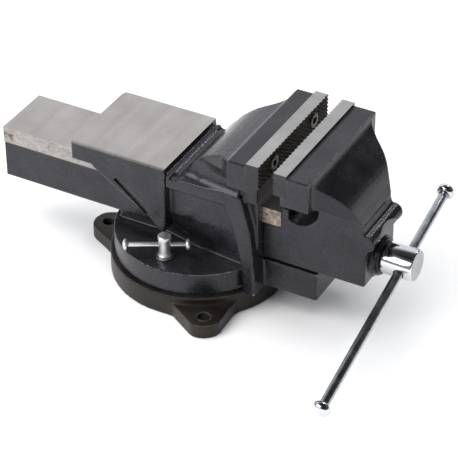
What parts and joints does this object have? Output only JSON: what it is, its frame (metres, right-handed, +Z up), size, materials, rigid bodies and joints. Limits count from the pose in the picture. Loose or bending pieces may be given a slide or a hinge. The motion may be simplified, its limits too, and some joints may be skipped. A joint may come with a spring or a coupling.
{
  "type": "engineer's bench vise",
  "caption": "Cast engineer's bench vise with a swivel base, an anvil face, a square slide, serrated jaw plates and a sliding bar handle.",
  "frame": {"origin": "on the swivel axis, on the underside of the swivel base", "axes": "+X towards the screw handle, +Z up, -Y the left side seen from the handle"},
  "size_m": [0.4639, 0.304, 0.2008],
  "materials": {
    "painted_iron": "gloss black-grey enamel on cast iron, ground bare on the tops",
    "base_iron": "brown-black painted cast iron",
    "jaw_steel": "hardened steel, ground",
    "bright_steel": "bright plated steel",
    "black_steel": "black oxide steel"
  },
  "bodies": {
    "base": {"swivel_base": "base_iron"},
    "fixed": {"vise_body": "painted_iron", "fixed_jaw_plate": "jaw_steel", "fixed_jaw_screw_left": "black_steel", "fixed_jaw_screw_right": "black_steel", "lead_nut": "base_iron", "nut_bolt": "black_steel", "nut_bolt_washer": "black_steel", "lock_washer_left": "bright_steel", "lock_washer_right": "bright_steel", "lock_nut_left": "black_steel", "lock_nut_right": "black_steel"},
    "moving": {"moving_jaw": "painted_iron", "moving_jaw_plate": "jaw_steel", "moving_jaw_screw_left": "black_steel", "moving_jaw_screw_right": "black_steel"},
    "spindle": {"lead_screw": "bright_steel", "thrust_washer": "black_steel", "retaining_spring": "jaw_steel", "retaining_collar": "black_steel", "collar_pin": "jaw_steel"},
    "handle": {"handle_bar": "bright_steel", "handle_knob_upper": "bright_steel", "handle_knob_lower": "bright_steel"},
    "lock_bolt_left": {"lock_bolt_left": "bright_steel"},
    "lock_bar_left": {"lock_bar_left": "bright_steel", "lock_knob_left_front": "bright_steel", "lock_knob_left_rear": "bright_steel"},
    "lock_bolt_right": {"lock_bolt_right": "bright_steel"},
    "lock_bar_right": {"lock_bar_right": "bright_steel", "lock_knob_right_front": "bright_steel", "lock_knob_right_rear": "bright_steel"}
  },
  "joints": [
    {"name": "swivel", "type": "hinge", "parent": "base", "child": "fixed", "pos_m": [0, 0, 0.025], "axis": [0, 0, 1], "continuous": true},
    {"name": "jaw_slide", "type": "slide", "parent": "fixed", "child": "moving", "axis": [1, 0, 0], "range_m": [-0.0135, 0.136]},
    {"name": "screw_spin", "type": "hinge", "parent": "moving", "child": "spindle", "pos_m": [0.2, 0, 0.083], "axis": [1, 0, 0], "range_deg": [-830, 8200]},
    {"name": "handle_slide", "type": "slide", "parent": "spindle", "child": "handle", "axis": [0, 0.9598, 0.2807], "range_m": [-0.076, 0.167]},
    {"name": "lock_turn_left", "type": "hinge", "parent": "fixed", "child": "lock_bolt_left", "pos_m": [-0.00297, -0.06804, 0.06], "axis": [0, 0, 1], "range_deg": [-45, 10]},
    {"name": "lock_bar_slide_left", "type": "slide", "parent": "lock_bolt_left", "child": "lock_bar_left", "axis": [0.8813, 0.4726, 0], "range_m": [-0.014, 0.005]},
    {"name": "lock_turn_right", "type": "hinge", "parent": "fixed", "child": "lock_bolt_right", "pos_m": [-0.00297, 0.06804, 0.06], "axis": [0, 0, 1], "range_deg": [-10, 45]},
    {"name": "lock_bar_slide_right", "type": "slide", "parent": "lock_bolt_right", "child": "lock_bar_right", "axis": [0.8813, -0.4726, 0], "range_m": [-0.014, 0.005]}
  ],
  "couplings": [
    {"joint": "screw_spin", "follows": "jaw_slide", "rad_per_m": 1047.2}
  ]
}
